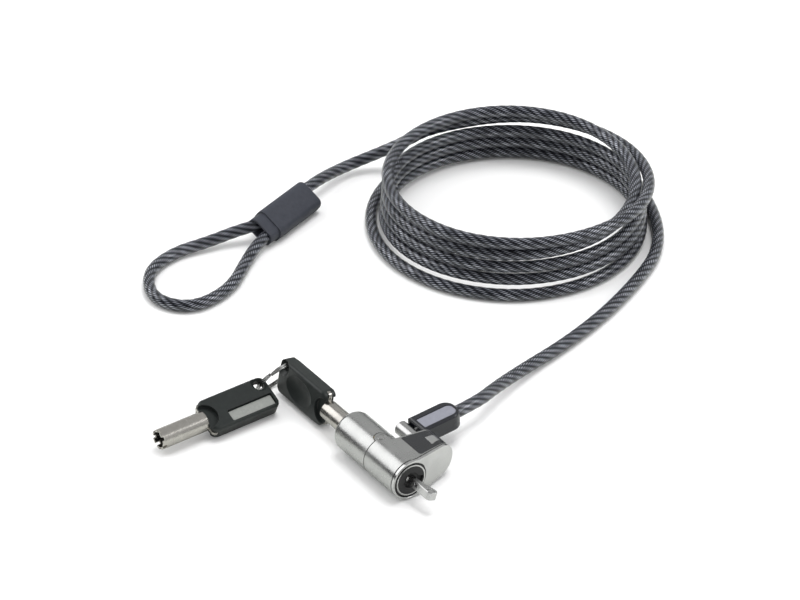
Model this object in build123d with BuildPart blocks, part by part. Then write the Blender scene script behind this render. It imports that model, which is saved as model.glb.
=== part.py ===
"""Laptop cable lock: a tubular-key lock head on a swivel, a looped steel cable, two keys on a split ring.

Frame, in millimetres: the origin is the centre of the lock's nose face, on the axis of the lock's
barrel. -Y points out of the nose, +Y towards the key, +X towards the cable swivel and +Z up. The lock
lies on its side on a flat surface one body radius below the origin.
"""
from build123d import *
from math import cos, hypot, pi, radians, sin, tan
import os

# ---------------------------------------------------------------- driving dimensions
# Lock head
body_radius = 7.2           # outside of the lock's barrel
body_length = 35.5          # nose face to rear face
body_wall = 1.5             # front and rear shells
rear_wall = 2.0             # end of the rear shell, around the key
rear_round = 2.4            # rounding of the rear rim
seam_y = 16.8               # parting line of the front and rear shells
seam_gap = 0.3
tab_radius = 2.3            # round tab of the front shell that reaches over the seam
tab_y = 17.1
groove_width = 0.3          # engraved circle on the tab
groove_depth = 0.25

# Swivel arm on the side of the head
arm_reach = 14.0            # barrel axis to swivel axis
arm_end_radius = 5.6
arm_rear = 14.3
sweep_start = 3.0           # where the arm's front starts to lean back
sweep_slope = 0.27
plate_thickness = 1.0       # die-cast front plate
plate_edge = 0.2            # rounding of the plate's front edge
plate_seam = 0.4           # groove between the plate and the housing
plate_seam_depth = 0.8
inlay_depth = 0.9
inlay_start = 5.3
inlay_bottom = 3.8
badge_depth = 0.45

# Nose
nose_bore = 6.4
nose_skirt_radius = 6.3
nose_pad_radius = 5.1
nose_step = 0.6             # how far the pad stands above its skirt
nose_pad_depth = 3.0
nose_ring_inner = 5.15
nose_ring_outer = 5.65
recess_depth = 1.2
recess_length = 7.4
recess_height = 3.6
recess_shift = 0.9
recess_round = 2.85         # room for the hook to turn
front_wall = 2.4            # housing wall behind the pad

# Security hook
hook_tilt = 20.0            # turn of the hook about the barrel axis, degrees
hook_stem_radius = 1.3
hook_side = -0.9            # near side of the hook's bar, from the barrel axis
hook_reach = 11.0
hook_width = 2.2
hook_flare = 1.8            # how much wider the hook is at its tip
hook_height = 2.8
hook_edge = 0.18            # broken edges
hook_window = 1.3
flange_radius = 3.2
flange_length = 1.5
turn_gap = 0.05             # radial gap of what turns in the head

# Pin tumbler core
core_gap = 0.05             # radial gap of the core in its shells
core_start = 16.0
pin_count = 7
pin_circle = 3.15           # mid-wall of the key's tube
pin_radius = 0.5
pin_hole_radius = 0.55
shear_y = 24.0
rotor_length = 4.0
rotor_radius = 4.4
driver_length = 4.0
spring_length = 3.4
spindle_radius = 1.85
post_radius = 2.6
plate_length = 1.0          # disc that closes the spring holes
clip_thickness = 0.6
clip_radius = 3.2
bitting = (0.4, 1.2, 0.8, 1.6, 0.4, 1.2, 0.8)   # depth of each cut in the key's end

pin_start = 10.0            # angle of the first pin
pin_gap = 0.02
spring_wire = 0.15
shell_pin_radius = 0.8
shell_pin_y = 21.0
shell_pin_length = 2.6
drive_length = 4.4          # flat of the spindle that turns the hook
drive_thickness = 1.0
clip_start = 13.0
clip_bore = 1.3

# Keys
key_bore_depth = 11.0
nib_width = 1.0
nib_height = 0.5
nib_length = 2.2
dish_along = 32.0
dish_length = 15.0
dish_depth = 1.3
dish_radius = 9.0
key_tube_radius = 3.5
key_bore_radius = 2.8
key_tube_length = 18.0
key_insertion = 5.5
key_entry_gap = 0.25
bow_width = 13.0
bow_length = 27.0
bow_thickness = 5.6
bow_corner = 2.6
bow_edge = 1.1
dip_radius = 4.6            # round dip where the tube meets the bow
dip_depth = 1.5
ring_hole_radius = 1.93
ring_hole_flare = 1.5       # countersink of the ring hole
ring_hole_side = 2.567      # hole centre to the bow's side
ring_hole_end = 2.567       # hole centre to the bow's end
tag_length = 17.0
tag_width = 3.8
tag_recess = 1.5
tag_thickness = 0.6
tang_width = 12.6
tang_thickness = 1.2
tang_corner = 1.5
tang_length = 9.0
key_roll = 100.0            # turn of the inserted key about its own axis, degrees
spare_reach = (-54.2, 38.4, -2.037)   # spare key's tip, from the tip of the inserted key
spare_yaw = 1.5
spare_roll = 24.27

# Split ring
ring_radius = 7.352         # centre line
ring_wire = 0.75
ring_offset = (-4.013, 44.623, -0.392)   # from the tip of the inserted key
ring_normal = (-0.135, 0.834, 0.536)

# Swivel and boot
barrel_radius = 2.55
barrel_start = 6.6
barrel_end = 26.6
barrel_chamfer = 0.7
swivel_gap = 0.05
cross_pin_radius = 0.75
swivel_tilt = 4.0           # how far the boot points up from the surface
socket_radius = 2.65
socket_length = 14.0        # swivel axis to the mouth of the cable socket
socket_bore_start = 7.0
neck_radius = 1.5           # where the socket joins the swivel
neck_end = 3.2
boot_y = 20.9
boot_width = 9.4
boot_top = 3.2
boot_bottom = 3.1
boot_start = 2.7            # from the swivel axis
boot_end = 19.0
boot_round = 4.0
boot_edge = 1.0
panel_depth = 0.5
panel_width = 5.4
panel_y = 20.2
panel_start = 4.0
panel_end = 17.8

# Cable
cable_radius = 2.2
cable_gap = 0.05
cable_straight = 27.0       # swivel axis to the first bend of the cable
ferrule_start = 8.0
ferrule_length = 14.0
ferrule_width = 10.8
ferrule_height = 5.6
coil_center = (126.2, 114.6)
coil_inner = 41.5
coil_outer = 56.0
coil_height = 23.6

# Sleeve that closes the eye of the cable
sleeve_start = (42.7, 156.4, -1.89)
sleeve_angle = 20.8
sleeve_roll = 35.0          # turn about its own length: it leans on its near edge
sleeve_length = 31.0
sleeve_width = 12.2
sleeve_height = 7.0
neck_length = 5.0
neck_step = 0.5
sleeve_edge = 1.6
mouth_depth = 6.5           # open pocket in which the two ends of the eye part
mouth_wall = 0.7
sleeve_bore_offset = 2.6    # each of the two bores from the middle
sleeve_bore_depth = 14.0

# ---------------------------------------------------------------- worked-out sizes
cross_pin_x = arm_reach - barrel_radius - 0.1
cross_pin_y = arm_rear - 5.0
cross_pin_bottom = -5.6
cross_pin_length = 8.4
groove_start = cross_pin_y - cross_pin_radius - 0.1
groove_end = cross_pin_y + cross_pin_radius + 0.1
tag_center = 3.2
tag_along = key_tube_length + bow_length - 1.6 - tag_length / 2
floor_z = -body_radius
core_bore = body_radius - body_wall
core_radius = core_bore - core_gap
rotor_end = shear_y + rotor_length
key_tip_y = body_length - key_insertion
pad_back = nose_pad_depth
flange_start = pad_back + front_wall + turn_gap
flange_end = flange_start + flange_length
ring_center = (ring_offset[0], key_tip_y + ring_offset[1], ring_offset[2])
spare_tip = (spare_reach[0], key_tip_y + spare_reach[1], spare_reach[2])
hole_across = ring_hole_side - bow_width / 2
hole_along = key_tube_length + bow_length - ring_hole_end

os.makedirs("parts", exist_ok=True)


def save(name, piece):
    """Label a finished piece and write it under its own name."""
    piece.part.label = name
    export_step(piece.part, f"parts/{name}.step")


def across(y):
    """Plane square to the lock's barrel at y, with sketch X along +X and sketch Y along +Z."""
    return Plane.XZ.offset(-y)


def bar(radius, start, end, x=0.0, mode=Mode.ADD):
    """Round bar parallel to the barrel axis, between two Y positions."""
    with BuildSketch(across(start)) as section:
        with Locations((x, 0)):
            Circle(radius)
    extrude(section.sketch, amount=start - end, mode=mode)


def head_outline(shrink=0.0):
    """Barrel and arm seen from the nose, as one taut outline."""
    Circle(body_radius - shrink)
    with Locations((arm_reach, 0)):
        Circle(arm_end_radius - shrink)
    make_hull()


def swept_band(start, end):
    """Plan outline between two Y positions that both lean back along the arm."""
    far = arm_reach + 2 * arm_end_radius
    lean = sweep_slope * (far - sweep_start)
    with BuildLine() as edge:
        Polyline(
            (-2 * body_radius, start),
            (sweep_start, start),
            (far, start + lean),
            (far, end + lean),
            (sweep_start, end),
            (-2 * body_radius, end),
            close=True,
        )
    make_face(edge.edges())


# ---------------------------------------------------------------- front plate
with BuildPart() as front_plate:
    with BuildSketch(across(0)):
        head_outline()
    extrude(amount=-3 * arm_end_radius)
    with BuildSketch(Plane.XY.offset(-body_radius)):
        swept_band(0, plate_thickness)
    extrude(amount=2 * body_radius, mode=Mode.INTERSECT)
    bar(nose_bore, -1, 3 * arm_end_radius, mode=Mode.SUBTRACT)
    fillet(front_plate.edges().filter_by(lambda edge: edge.center().Y < 0.01 and edge.length < 7 * nose_bore).group_by(SortBy.LENGTH)[-1], radius=plate_edge)
save("front_plate", front_plate)

# ---------------------------------------------------------------- front housing, with the swivel arm
inlay_front = 2.5
inlay_lean = 0.24


def inlay_outline():
    """Plan outline of the dark inlay that covers the top of the arm."""
    far = arm_reach + arm_end_radius + 1
    with BuildLine() as edge:
        FilletPolyline(
            (inlay_start, arm_rear - 0.5),
            (inlay_start, inlay_front),
            (far, inlay_front + inlay_lean * (far - inlay_start)),
            (far, arm_rear - 0.5),
            radius=0.8,
            close=True,
        )
    make_face(edge.edges())


badge_outline = ((12.5, 6.1), (12.7, 10.4), (19.4, 10.7), (19.4, 7.6), (15.4, 7.1))


def badge_sketch():
    """Plan outline of the plain badge set in the inlay."""
    with BuildLine() as edge:
        Polyline(*badge_outline, close=True)
    make_face(edge.edges())


def skin(outer, inner, start, end):
    """Layer of the head's outline between two depths below its surface."""
    with BuildSketch(across(start)) as outside:
        head_outline(outer)
    extrude(outside.sketch, amount=start - end)
    with BuildSketch(across(start)) as inside:
        head_outline(inner)
    extrude(inside.sketch, amount=start - end, mode=Mode.SUBTRACT)


with BuildPart() as arm_inlay:
    skin(0, inlay_depth, 0, arm_rear)
    with BuildSketch(Plane.XY.offset(inlay_bottom)):
        inlay_outline()
    extrude(amount=body_radius, mode=Mode.INTERSECT)

with BuildPart() as badge:
    skin(0, badge_depth, 0, arm_rear)
    with BuildSketch(Plane.XY.offset(inlay_bottom)):
        badge_sketch()
    extrude(amount=body_radius, mode=Mode.INTERSECT)

with BuildPart() as seam_strip:
    skin(-1, plate_seam_depth, 0, arm_rear)
    with BuildSketch(Plane.XY.offset(-2 * body_radius)):
        swept_band(plate_thickness, plate_thickness + plate_seam)
    extrude(amount=4 * body_radius, mode=Mode.INTERSECT)

with BuildPart() as lock_housing:
    with BuildSketch(across(0)):
        head_outline()
    extrude(amount=-arm_rear)
    with BuildSketch(Plane.XY.offset(-body_radius)):
        swept_band(plate_thickness, 2 * body_length)
    extrude(amount=2 * body_radius, mode=Mode.INTERSECT)
    bar(body_radius, arm_rear - 1, seam_y)
    add(seam_strip.part, mode=Mode.SUBTRACT)
    bar(nose_bore, -1, pad_back, mode=Mode.SUBTRACT)
    bar(core_bore, pad_back + front_wall, seam_y + 1, mode=Mode.SUBTRACT)
    bar(hook_stem_radius + turn_gap, 0, body_length, mode=Mode.SUBTRACT)
    bar(barrel_radius + swivel_gap, barrel_start - 0.1, arm_rear + 1, x=arm_reach, mode=Mode.SUBTRACT)
    add(arm_inlay.part, mode=Mode.SUBTRACT)
    with BuildSketch(Plane.XY.offset(cross_pin_bottom + cross_pin_length)):
        with Locations((cross_pin_x, cross_pin_y)):
            Circle(cross_pin_radius)
    extrude(amount=-2 * body_radius, mode=Mode.SUBTRACT)

with BuildPart() as tab:
    bar(body_radius, seam_y - 0.5, seam_y + 3 * tab_radius)
    bar(core_bore, seam_y - 1, seam_y + 4 * tab_radius, mode=Mode.SUBTRACT)
    with BuildSketch(Plane.XY):
        with Locations((0, tab_y)):
            Circle(tab_radius)
    extrude(amount=body_radius, mode=Mode.INTERSECT)

with BuildPart() as housing:
    add(lock_housing.part)
    add(tab.part)
    with BuildSketch(Plane.XY.offset(body_radius - groove_depth)):
        with Locations((0, tab_y)):
            Circle(tab_radius / 2 + groove_width)
            Circle(tab_radius / 2, mode=Mode.SUBTRACT)
    extrude(amount=1, mode=Mode.SUBTRACT)
save("lock_housing", housing)

with BuildPart() as inlay:
    add(arm_inlay.part)
    add(badge.part, mode=Mode.SUBTRACT)
save("arm_inlay", inlay)
save("arm_badge", badge)

# ---------------------------------------------------------------- rear shell
with BuildPart() as rear_shell:
    bar(body_radius, seam_y + seam_gap, body_length)
    fillet(rear_shell.edges().group_by(Axis.Y)[-1], radius=rear_round)
    bar(core_bore, seam_y - 1, body_length - rear_wall, mode=Mode.SUBTRACT)
    bar(key_tube_radius + key_entry_gap, 0, body_length + 1, mode=Mode.SUBTRACT)
    with BuildSketch(Plane.XY):
        with Locations((0, tab_y)):
            Circle(tab_radius + seam_gap)
    extrude(amount=body_radius, mode=Mode.SUBTRACT)
    with BuildSketch(Plane.XY.offset(1 - core_bore)):
        with Locations((0, shell_pin_y)):
            Circle(shell_pin_radius)
    extrude(amount=-body_radius, mode=Mode.SUBTRACT)
save("rear_shell", rear_shell)

# ---------------------------------------------------------------- nose
hook_plane = Plane.XY.rotated((0, hook_tilt, 0))
with BuildPart() as nose_pad:
    bar(nose_skirt_radius, nose_step, pad_back)
    bar(nose_pad_radius, 0, nose_step)
    recess_plane = Plane(origin=(0, 0, 0), x_dir=hook_plane.x_dir, z_dir=(0, -1, 0))
    with BuildSketch(recess_plane):
        Circle(recess_round)
        with Locations((recess_shift, 0)):
            RectangleRounded(recess_length, recess_height, 0.5)
    extrude(amount=-recess_depth, mode=Mode.SUBTRACT)
    bar(hook_stem_radius + turn_gap, -1, body_length, mode=Mode.SUBTRACT)
save("nose_pad", nose_pad)

with BuildPart() as nose_ring:
    bar(nose_ring_outer, 0.1, nose_step)
    bar(nose_ring_inner, 0, nose_step + 1, mode=Mode.SUBTRACT)
save("nose_ring", nose_ring)

# ---------------------------------------------------------------- security hook
with BuildPart() as security_hook:
    with BuildSketch(hook_plane.offset(-hook_height / 2)):
        with BuildLine():
            Polyline(
                (hook_side, recess_depth - 0.1),
                (hook_side, 1 - hook_reach),
                (hook_side + 0.9, -hook_reach),
                (hook_side + hook_width + hook_flare - 0.9, -hook_reach),
                (hook_side + hook_width + hook_flare, 1.2 - hook_reach),
                (hook_side + hook_width + hook_flare - 0.5, 3.4 - hook_reach),
                (hook_side + hook_width, -3.0),
                (hook_side + hook_width, recess_depth - 0.1),
                close=True,
            )
        make_face()
    extrude(amount=hook_height)
    chamfer(security_hook.edges(), length=hook_edge)
    bar(hook_stem_radius, recess_depth - 0.2, flange_end)
    bar(flange_radius, flange_start, flange_end)
    window_plane = Plane.XY.rotated((0, hook_tilt - 90, 0))
    with BuildSketch(window_plane):
        with Locations((0.3, -3.6)):
            Rectangle(hook_window, hook_window)
    extrude(amount=hook_width / 2, mode=Mode.SUBTRACT)
    with BuildSketch(hook_plane.offset(hook_height / 2)):
        with Locations((hook_side + 1.5, 2.6 - hook_reach)):
            Rectangle(2.0, 0.35)
        with Locations((hook_side + 2.5, 1.2 - hook_reach)):
            Circle(0.35)
    extrude(amount=-0.5, mode=Mode.SUBTRACT)
    with BuildSketch(hook_plane):
        with Locations((0, flange_end)):
            Rectangle(drive_length, 2 * drive_thickness)
    extrude(amount=drive_thickness / 2, both=True, mode=Mode.SUBTRACT)
save("security_hook", security_hook)

# ---------------------------------------------------------------- spindle and its clip
with BuildPart() as spindle:
    bar(post_radius, rotor_end, body_length - 0.5)
    bar(rotor_radius, shear_y, rotor_end)
    bar(spindle_radius, flange_end + 0.1, shear_y)
    with BuildSketch(hook_plane):
        with Locations((0, flange_end)):
            Rectangle(drive_length - 0.2, 2 * drive_thickness - 0.2)
    extrude(amount=drive_thickness / 2 - 0.05, both=True)
    with BuildSketch(across(shear_y)):
        with PolarLocations(pin_circle, pin_count, start_angle=pin_start):
            Circle(pin_hole_radius)
    extrude(amount=-rotor_length, mode=Mode.SUBTRACT)
    with BuildSketch(Plane.XY.rotated((0, key_roll, 0)).offset(-nib_width / 2 - 0.1)):
        with Locations((post_radius, key_tip_y + 5)):
            Rectangle(2 * nib_height, 10.4)
    extrude(amount=nib_width + 0.2, mode=Mode.SUBTRACT)
    bar(spindle_radius + 1, clip_start, clip_start + clip_thickness, mode=Mode.SUBTRACT)
    bar(clip_bore, clip_start - 0.1, clip_start + clip_thickness + 0.1)
save("spindle", spindle)

with BuildPart() as retaining_clip:
    bar(clip_radius, clip_start + 0.02, clip_start + clip_thickness - 0.02)
    bar(clip_bore, 0, body_length, mode=Mode.SUBTRACT)
    with BuildSketch(Plane.XY):
        with Locations((clip_radius, clip_start)):
            Rectangle(2 * clip_radius, 2 * clip_thickness)
    extrude(amount=clip_bore, both=True, mode=Mode.SUBTRACT)
save("retaining_clip", retaining_clip)

# ---------------------------------------------------------------- pin tumbler core
with BuildPart() as core_barrel:
    bar(core_radius, core_start, body_length - rear_wall)
    bar(spindle_radius + turn_gap, 0, body_length, mode=Mode.SUBTRACT)
    bar(rotor_radius + turn_gap, shear_y, rotor_end + turn_gap, mode=Mode.SUBTRACT)
    bar(key_tube_radius + key_entry_gap, rotor_end, body_length, mode=Mode.SUBTRACT)
    with BuildSketch(across(core_start)):
        with PolarLocations(pin_circle, pin_count, start_angle=pin_start):
            Circle(pin_hole_radius)
    extrude(amount=core_start - shear_y, mode=Mode.SUBTRACT)
    with BuildSketch(Plane.XY.offset(-body_radius + 0.15 + shell_pin_length)):
        with Locations((0, shell_pin_y)):
            Circle(shell_pin_radius)
    extrude(amount=-body_radius, mode=Mode.SUBTRACT)
save("core_barrel", core_barrel)

with BuildPart() as spring_plate:
    bar(core_radius, core_start - plate_length, core_start)
    bar(spindle_radius + turn_gap, 0, body_length, mode=Mode.SUBTRACT)
save("spring_plate", spring_plate)

with BuildPart() as driver_pins:
    with BuildSketch(across(shear_y - pin_gap)):
        with PolarLocations(pin_circle, pin_count, start_angle=pin_start):
            Circle(pin_radius)
    extrude(amount=driver_length)
save("driver_pins", driver_pins)

with BuildPart() as pin_springs:
    with BuildSketch(across(core_start)):
        with PolarLocations(pin_circle, pin_count, start_angle=pin_start):
            Circle(pin_radius)
            Circle(pin_radius - spring_wire, mode=Mode.SUBTRACT)
    extrude(amount=core_start - (shear_y - pin_gap - driver_length))
save("pin_springs", pin_springs)

with BuildPart() as key_pins:
    for index, depth in enumerate(bitting):
        with BuildSketch(across(shear_y + pin_gap)):
            with PolarLocations(pin_circle, 1, start_angle=pin_start + index * 360 / pin_count):
                Circle(pin_radius)
        extrude(amount=shear_y + 2 * pin_gap - key_tip_y - depth)
save("key_pins", key_pins)

with BuildPart() as shell_pin:
    with BuildSketch(Plane.XY.offset(-body_radius + 0.15)):
        with Locations((0, shell_pin_y)):
            Circle(shell_pin_radius)
    extrude(amount=shell_pin_length)
save("shell_pin", shell_pin)

# ---------------------------------------------------------------- keys, made once about their own axis
with BuildPart() as key_shaft:
    bar(key_tube_radius, 0, key_tube_length)
    bar(key_bore_radius, 0, key_bore_depth, mode=Mode.SUBTRACT)
    with BuildSketch(Plane.XY.offset(-nib_width / 2)):
        with Locations((key_bore_radius - nib_height / 2 + 0.05, nib_length / 2 + 0.3)):
            Rectangle(nib_height + 0.1, nib_length)
    extrude(amount=nib_width)
    for index, depth in enumerate(bitting):
        spin = pin_start + index * 360 / pin_count + key_roll
        with BuildSketch(across(0)):
            with PolarLocations(pin_circle, 1, start_angle=spin):
                Circle(pin_hole_radius + 0.1)
        extrude(amount=-depth, mode=Mode.SUBTRACT)
    with BuildSketch(Plane.XY.offset(-tang_thickness / 2)):
        with Locations((0, key_tube_length + tang_length / 2)):
            RectangleRounded(tang_width, tang_length, tang_corner)
    extrude(amount=tang_thickness)

with BuildPart() as key_bow:
    with BuildSketch(Plane.XY.offset(-bow_thickness / 2)):
        with Locations((0, key_tube_length + bow_length / 2)):
            RectangleRounded(bow_width, bow_length, bow_corner)
    extrude(amount=bow_thickness)
    fillet(key_bow.faces().filter_by(Plane.XY).edges(), radius=bow_edge)
    for face_plane in (Plane.XY.offset(bow_thickness / 2), Plane.XY.offset(-bow_thickness / 2).rotated((0, 180, 0))):
        with BuildSketch(face_plane):
            with Locations((0, key_tube_length)):
                Circle(dip_radius)
        extrude(amount=-dip_depth, mode=Mode.SUBTRACT)
    bar(key_tube_radius, 0, key_tube_length, mode=Mode.SUBTRACT)
    with BuildSketch(Plane.XY.offset(bow_thickness / 2)):
        with Locations((tag_center, tag_along)):
            RectangleRounded(tag_width + 0.6, tag_length + 0.6, 0.5)
    extrude(amount=-tag_recess, mode=Mode.SUBTRACT)
    with BuildSketch(Plane.YZ):
        with BuildLine():
            ThreePointArc(
                (dish_along - dish_length / 2, -bow_thickness / 2),
                (dish_along, dish_depth - bow_thickness / 2),
                (dish_along + dish_length / 2, -bow_thickness / 2),
            )
            Line(
                (dish_along + dish_length / 2, -bow_thickness / 2),
                (dish_along + dish_length / 2, dish_depth - bow_thickness / 2 - dish_radius),
            )
            Line(
                (dish_along + dish_length / 2, dish_depth - bow_thickness / 2 - dish_radius),
                (dish_along - dish_length / 2, dish_depth - bow_thickness / 2 - dish_radius),
            )
            Line(
                (dish_along - dish_length / 2, dish_depth - bow_thickness / 2 - dish_radius),
                (dish_along - dish_length / 2, -bow_thickness / 2),
            )
        make_face()
    revolve(
        axis=Axis((0, 0, dish_depth - bow_thickness / 2 - dish_radius), (0, 1, 0)), mode=Mode.SUBTRACT
    )
    with BuildSketch(Plane.XY.offset(-bow_thickness / 2)):
        with Locations((hole_across, hole_along)):
            Circle(ring_hole_radius)
    extrude(amount=bow_thickness, mode=Mode.SUBTRACT)
    for side in (1, -1):
        flare_plane = Plane((hole_across, hole_along, side * bow_thickness / 2), z_dir=(0, 0, side))
        with BuildSketch(flare_plane):
            Circle(ring_hole_radius + ring_hole_flare)
        with BuildSketch(flare_plane.offset(-ring_hole_flare)):
            Circle(ring_hole_radius)
        loft(mode=Mode.SUBTRACT)
    add(key_shaft.part, mode=Mode.SUBTRACT)

with BuildPart() as key_tag:
    with BuildSketch(Plane.XY.offset(bow_thickness / 2 - tag_recess)):
        with Locations((tag_center, tag_along)):
            RectangleRounded(tag_width, tag_length, 0.4)
    extrude(amount=tag_thickness)

yaw = radians(spare_yaw)
roll = radians(spare_roll)
key_homes = {
    "key": Plane.XY.offset(0).rotated((0, key_roll, 0)).move(Location((0, key_tip_y, 0))),
    "spare_key": Plane(
        origin=spare_tip,
        x_dir=(sin(yaw) * cos(roll), -cos(yaw) * cos(roll), -sin(roll)),
        z_dir=(sin(yaw) * sin(roll), -cos(yaw) * sin(roll), cos(roll)),
    ),
}
for prefix, home in key_homes.items():
    for suffix, piece in (("shaft", key_shaft), ("bow", key_bow), ("tag", key_tag)):
        with BuildPart() as placed:
            add(piece.part.moved(home.location))
        save(f"{prefix}_{suffix}", placed)

# ---------------------------------------------------------------- split ring
ring_home = Plane(origin=ring_center, z_dir=ring_normal)
with BuildPart() as split_ring:
    section = Plane(origin=ring_center, x_dir=ring_home.x_dir, z_dir=ring_home.y_dir)
    with BuildSketch(section):
        with Locations((ring_radius, ring_wire / 2 - 0.01), (ring_radius, 0.01 - ring_wire / 2)):
            Circle(ring_wire / 2)
    revolve(axis=Axis(ring_center, ring_normal))
save("split_ring", split_ring)

# ---------------------------------------------------------------- swivel barrel with its cable socket
tilt = radians(swivel_tilt)
swivel_home = Plane(origin=(arm_reach, 0, 0), x_dir=(cos(tilt), 0, sin(tilt)), z_dir=(-sin(tilt), 0, cos(tilt)))
socket_home = Plane(
    origin=swivel_home.from_local_coords((0, boot_y, 0)), x_dir=(0, 1, 0), z_dir=swivel_home.x_dir
)


def socket_bar(radius, start, end, mode=Mode.ADD):
    """Round bar along the cable socket, between two distances from the swivel axis."""
    with BuildSketch(socket_home.offset(start)) as section:
        Circle(radius)
    extrude(section.sketch, amount=end - start, mode=mode)


with BuildPart() as swivel_barrel:
    bar(barrel_radius, barrel_start, barrel_end, x=arm_reach)
    chamfer(swivel_barrel.edges().group_by(Axis.Y)[-1], length=barrel_chamfer)
    bar(barrel_radius + 1, groove_start, groove_end, x=arm_reach, mode=Mode.SUBTRACT)
    bar(barrel_radius - cross_pin_radius, groove_start - 0.1, groove_end + 0.1, x=arm_reach)
    socket_bar(neck_radius, 0, socket_length)
    socket_bar(socket_radius, neck_end, socket_length)
    socket_bar(cable_radius + cable_gap, socket_bore_start, socket_length + 1, mode=Mode.SUBTRACT)
save("swivel_barrel", swivel_barrel)

with BuildPart() as cross_pin:
    with BuildSketch(Plane.XY.offset(cross_pin_bottom)):
        with Locations((cross_pin_x, cross_pin_y)):
            Circle(cross_pin_radius)
    extrude(amount=cross_pin_length)
save("cross_pin", cross_pin)

# ---------------------------------------------------------------- boot over the cable socket
with BuildPart() as cable_boot:
    with BuildSketch(swivel_home.offset(-boot_bottom)):
        with Locations(((boot_start + boot_end) / 2, boot_y)):
            boot_plan = Rectangle(boot_end - boot_start, boot_width)
        fillet(boot_plan.vertices().group_by(Axis.X)[-1], radius=boot_round)
    extrude(amount=boot_bottom + boot_top)
    fillet(cable_boot.faces().filter_by(swivel_home).edges(), radius=boot_edge)
    with BuildSketch(swivel_home.offset(boot_top)):
        with Locations(((panel_start + panel_end) / 2, panel_y)):
            panel_plan = Rectangle(panel_end - panel_start, panel_width)
        fillet(panel_plan.vertices().group_by(Axis.X)[-1], radius=panel_width / 2 - 0.1)
    extrude(amount=-panel_depth, mode=Mode.SUBTRACT)
    socket_bar(neck_radius, 0, socket_length, mode=Mode.SUBTRACT)
    socket_bar(socket_radius, neck_end, socket_length, mode=Mode.SUBTRACT)
    socket_bar(cable_radius + cable_gap, socket_bore_start, boot_end + 1, mode=Mode.SUBTRACT)
save("cable_boot", cable_boot)

# ---------------------------------------------------------------- sleeve of the cable's eye
angle = radians(sleeve_angle)
lean = radians(sleeve_roll)
sleeve_home = Plane(
    origin=sleeve_start,
    x_dir=(-sin(angle) * cos(lean), cos(angle) * cos(lean), sin(lean)),
    z_dir=(cos(angle), sin(angle), 0),
)


def sleeve_bore(offset, start, end):
    """Bore along the sleeve, at a sideways offset."""
    with BuildSketch(sleeve_home.offset(start)) as section:
        with Locations((offset, 0)):
            Circle(cable_radius + cable_gap)
    extrude(section.sketch, amount=end - start, mode=Mode.SUBTRACT)


with BuildPart() as cable_sleeve:
    with BuildSketch(sleeve_home.offset(neck_length)):
        RectangleRounded(sleeve_width, sleeve_height, sleeve_height / 2 - 0.8)
    extrude(amount=sleeve_length - neck_length)
    fillet(cable_sleeve.faces().sort_by(Axis(sleeve_home.origin, sleeve_home.z_dir))[-1].edges(), radius=sleeve_edge)
    with BuildSketch(sleeve_home):
        RectangleRounded(sleeve_width - 2 * neck_step, sleeve_height - 2 * neck_step, sleeve_height / 2 - neck_step - 0.3)
    extrude(amount=neck_length)
    with BuildSketch(sleeve_home):
        RectangleRounded(
            sleeve_width - 2 * (neck_step + mouth_wall),
            sleeve_height - 2 * (neck_step + mouth_wall),
            sleeve_height / 2 - neck_step - mouth_wall - 0.1,
        )
    extrude(amount=mouth_depth, mode=Mode.SUBTRACT)
    with BuildSketch(sleeve_home.offset(ferrule_start)):
        RectangleRounded(ferrule_width, ferrule_height, ferrule_height / 2 - 0.1)
    extrude(amount=ferrule_length, mode=Mode.SUBTRACT)
    sleeve_bore(sleeve_bore_offset, 0, sleeve_length)
    sleeve_bore(-sleeve_bore_offset, 0, sleeve_bore_depth)
save("cable_sleeve", cable_sleeve)

with BuildPart() as sleeve_ferrule:
    with BuildSketch(sleeve_home.offset(ferrule_start)):
        RectangleRounded(ferrule_width, ferrule_height, ferrule_height / 2 - 0.1)
    extrude(amount=ferrule_length)
    sleeve_bore(sleeve_bore_offset, 0, sleeve_length)
    sleeve_bore(-sleeve_bore_offset, 0, sleeve_bore_depth)
save("sleeve_ferrule", sleeve_ferrule)

# ---------------------------------------------------------------- cable
with BuildPart() as cable_coil:
    with BuildSketch(Plane.XZ.offset(-coil_center[1])):
        with Locations(((coil_inner + coil_outer) / 2 + coil_center[0], floor_z + coil_height / 2)):
            RectangleRounded(coil_outer - coil_inner, coil_height, 4.0)
    revolve(axis=Axis((*coil_center, 0), (0, 0, 1)))
save("cable_coil", cable_coil)


def corner_radii(points):
    """Arc radius at each corner of a route: 0.45 of the shorter run over the tangent of half the turn."""
    radii = []
    for before, corner, after in zip(points, points[1:], points[2:]):
        arriving = Vector(*corner) - Vector(*before)
        leaving = Vector(*after) - Vector(*corner)
        turn = radians(arriving.get_angle(leaving))
        radii.append(0.45 * min(arriving.length, leaving.length) / tan(turn / 2))
    return radii


def cable_tube(name, points):
    """Plain tube along a route of straight runs joined by arcs."""
    radii = corner_radii(points)
    with BuildPart() as tube:
        with BuildLine() as route:
            FilletPolyline(*points, radius=radii)
        with BuildSketch(Plane(origin=points[0], z_dir=Vector(*points[1]) - Vector(*points[0]))):
            Circle(cable_radius)
        sweep(path=route.wire())
        drawn = tube.part.volume
        add(cable_coil.part, mode=Mode.SUBTRACT)
    length = route.wire().length
    volume = pi * cable_radius**2 * length
    print(f"{name}: {length:.1f} mm, radii {[round(r, 1) for r in radii]}, volume {drawn / volume:.4f} of nominal")
    save(name, tube)


socket_floor = tuple(socket_home.offset(socket_bore_start).origin)
bore_far = sleeve_home.from_local_coords((sleeve_bore_offset, 0, 0))
lie = floor_z + cable_radius      # height of the cable's centre line where it lies on the surface


def in_sleeve(offset, along):
    """Point on one of the sleeve's bores."""
    point = sleeve_home.from_local_coords((offset, 0, along))
    return (point.X, point.Y, point.Z)


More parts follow.
